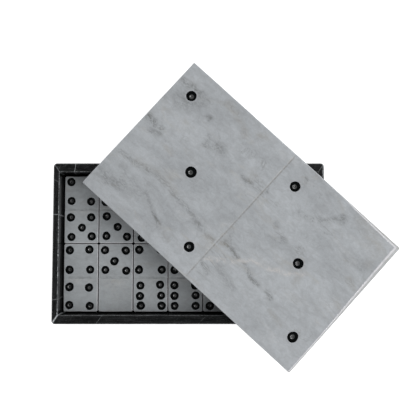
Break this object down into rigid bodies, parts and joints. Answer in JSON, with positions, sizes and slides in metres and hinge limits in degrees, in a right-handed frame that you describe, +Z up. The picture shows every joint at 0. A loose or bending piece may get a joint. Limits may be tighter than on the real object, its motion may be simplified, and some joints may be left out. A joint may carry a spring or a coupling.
{
  "type": "domino set",
  "caption": "Open black stone box with mitred walls, filled with white stone dominoes with black pips, and a domino-shaped stone lid lying slantwise across the rim.",
  "frame": {"origin": "centre of the flat underside of the box", "axes": "+Z up, away from the surface the box stands on; +X along the box's long side and along the rows of dominoes; +Y from the near long wall to the far long wall"},
  "size_m": [0.2471, 0.2186, 0.0499],
  "materials": {
    "black_marble": "polished",
    "lid_marble": "honed",
    "domino_marble": "honed",
    "pip_enamel": "gloss"
  },
  "bodies": {
    "box": {"box_floor": "black_marble", "long_walls": "black_marble", "end_walls": "black_marble"},
    "lid": {"lid_slab": "lid_marble", "lid_pips": "pip_enamel"},
    "domino_0_1": {"tile_0_1": "domino_marble", "pips_0_1": "pip_enamel"},
    "domino_4_5": {"tile_4_5": "domino_marble", "pips_4_5": "pip_enamel"},
    "domino_0_3": {"tile_0_3": "domino_marble", "pips_0_3": "pip_enamel"},
    "domino_3_5": {"tile_3_5": "domino_marble", "pips_3_5": "pip_enamel"},
    "domino_0_4": {"tile_0_4": "domino_marble", "pips_0_4": "pip_enamel"},
    "domino_1_4": {"tile_1_4": "domino_marble", "pips_1_4": "pip_enamel"},
    "domino_0_6": {"tile_0_6": "domino_marble", "pips_0_6": "pip_enamel"},
    "domino_0_2": {"tile_0_2": "domino_marble", "pips_0_2": "pip_enamel"},
    "domino_1_1": {"tile_1_1": "domino_marble", "pips_1_1": "pip_enamel"},
    "domino_3_3": {"tile_3_3": "domino_marble", "pips_3_3": "pip_enamel"},
    "domino_1_5": {"tile_1_5": "domino_marble", "pips_1_5": "pip_enamel"},
    "domino_6_6": {"tile_6_6": "domino_marble", "pips_6_6": "pip_enamel"},
    "domino_1_6": {"tile_1_6": "domino_marble", "pips_1_6": "pip_enamel"},
    "domino_1_2": {"tile_1_2": "domino_marble", "pips_1_2": "pip_enamel"},
    "domino_2_2": {"tile_2_2": "domino_marble", "pips_2_2": "pip_enamel"},
    "domino_4_4": {"tile_4_4": "domino_marble", "pips_4_4": "pip_enamel"},
    "domino_2_3": {"tile_2_3": "domino_marble", "pips_2_3": "pip_enamel"},
    "domino_5_0": {"tile_5_0": "domino_marble", "pips_5_0": "pip_enamel"},
    "domino_2_4": {"tile_2_4": "domino_marble", "pips_2_4": "pip_enamel"},
    "domino_4_6": {"tile_4_6": "domino_marble", "pips_4_6": "pip_enamel"},
    "domino_2_5": {"tile_2_5": "domino_marble", "pips_2_5": "pip_enamel"},
    "domino_5_6": {"tile_5_6": "domino_marble", "pips_5_6": "pip_enamel"},
    "domino_3_4": {"tile_3_4": "domino_marble", "pips_3_4": "pip_enamel"},
    "domino_1_3": {"tile_1_3": "domino_marble", "pips_1_3": "pip_enamel"},
    "domino_3_6": {"tile_3_6": "domino_marble", "pips_3_6": "pip_enamel"},
    "domino_2_6": {"tile_2_6": "domino_marble", "pips_2_6": "pip_enamel"},
    "domino_5_5": {"tile_5_5": "domino_marble", "pips_5_5": "pip_enamel"},
    "domino_0_0": {"tile_0_0": "domino_marble"}
  },
  "joints": [
    {"name": "lid_lift", "type": "slide", "parent": "box", "child": "lid", "axis": [0, 0, 1], "range_m": [0, 0.06]},
    {"name": "domino_0_1_lift", "type": "slide", "parent": "box", "child": "domino_0_1", "axis": [0, 0, 1], "range_m": [0, 0.0115]},
    {"name": "domino_4_5_lift", "type": "slide", "parent": "domino_0_1", "child": "domino_4_5", "axis": [0, 0, 1], "range_m": [0, 0.0115]},
    {"name": "domino_0_3_lift", "type": "slide", "parent": "box", "child": "domino_0_3", "axis": [0, 0, 1], "range_m": [0, 0.0115]},
    {"name": "domino_3_5_lift", "type": "slide", "parent": "domino_0_3", "child": "domino_3_5", "axis": [0, 0, 1], "range_m": [0, 0.0115]},
    {"name": "domino_0_4_lift", "type": "slide", "parent": "box", "child": "domino_0_4", "axis": [0, 0, 1], "range_m": [0, 0.0115]},
    {"name": "domino_1_4_lift", "type": "slide", "parent": "domino_0_4", "child": "domino_1_4", "axis": [0, 0, 1], "range_m": [0, 0.0115]},
    {"name": "domino_0_6_lift", "type": "slide", "parent": "box", "child": "domino_0_6", "axis": [0, 0, 1], "range_m": [0, 0.0115]},
    {"name": "domino_0_2_lift", "type": "slide", "parent": "domino_0_6", "child": "domino_0_2", "axis": [0, 0, 1], "range_m": [0, 0.0115]},
    {"name": "domino_1_1_lift", "type": "slide", "parent": "box", "child": "domino_1_1", "axis": [0, 0, 1], "range_m": [0, 0.0115]},
    {"name": "domino_3_3_lift", "type": "slide", "parent": "domino_1_1", "child": "domino_3_3", "axis": [0, 0, 1], "range_m": [0, 0.0115]},
    {"name": "domino_1_5_lift", "type": "slide", "parent": "box", "child": "domino_1_5", "axis": [0, 0, 1], "range_m": [0, 0.0115]},
    {"name": "domino_6_6_lift", "type": "slide", "parent": "domino_1_5", "child": "domino_6_6", "axis": [0, 0, 1], "range_m": [0, 0.0115]},
    {"name": "domino_1_6_lift", "type": "slide", "parent": "box", "child": "domino_1_6", "axis": [0, 0, 1], "range_m": [0, 0.0115]},
    {"name": "domino_1_2_lift", "type": "slide", "parent": "domino_1_6", "child": "domino_1_2", "axis": [0, 0, 1], "range_m": [0, 0.0115]},
    {"name": "domino_2_2_lift", "type": "slide", "parent": "box", "child": "domino_2_2", "axis": [0, 0, 1], "range_m": [0, 0.045]},
    {"name": "domino_4_4_lift", "type": "slide", "parent": "domino_2_2", "child": "domino_4_4", "axis": [0, 0, 1], "range_m": [0, 0.036]},
    {"name": "domino_2_3_lift", "type": "slide", "parent": "box", "child": "domino_2_3", "axis": [0, 0, 1], "range_m": [0, 0.045]},
    {"name": "domino_5_0_lift", "type": "slide", "parent": "domino_2_3", "child": "domino_5_0", "axis": [0, 0, 1], "range_m": [0, 0.036]},
    {"name": "domino_2_4_lift", "type": "slide", "parent": "box", "child": "domino_2_4", "axis": [0, 0, 1], "range_m": [0, 0.0115]},
    {"name": "domino_4_6_lift", "type": "slide", "parent": "domino_2_4", "child": "domino_4_6", "axis": [0, 0, 1], "range_m": [0, 0.0115]},
    {"name": "domino_2_5_lift", "type": "slide", "parent": "box", "child": "domino_2_5", "axis": [0, 0, 1], "range_m": [0, 0.0115]},
    {"name": "domino_5_6_lift", "type": "slide", "parent": "domino_2_5", "child": "domino_5_6", "axis": [0, 0, 1], "range_m": [0, 0.0115]},
    {"name": "domino_3_4_lift", "type": "slide", "parent": "box", "child": "domino_3_4", "axis": [0, 0, 1], "range_m": [0, 0.0115]},
    {"name": "domino_1_3_lift", "type": "slide", "parent": "domino_3_4", "child": "domino_1_3", "axis": [0, 0, 1], "range_m": [0, 0.0115]},
    {"name": "domino_3_6_lift", "type": "slide", "parent": "box", "child": "domino_3_6", "axis": [0, 0, 1], "range_m": [0, 0.0115]},
    {"name": "domino_2_6_lift", "type": "slide", "parent": "domino_3_6", "child": "domino_2_6", "axis": [0, 0, 1], "range_m": [0, 0.0115]},
    {"name": "domino_5_5_lift", "type": "slide", "parent": "box", "child": "domino_5_5", "axis": [0, 0, 1], "range_m": [0, 0.0115]},
    {"name": "domino_0_0_lift", "type": "slide", "parent": "domino_5_5", "child": "domino_0_0", "axis": [0, 0, 1], "range_m": [0, 0.0115]}
  ]
}
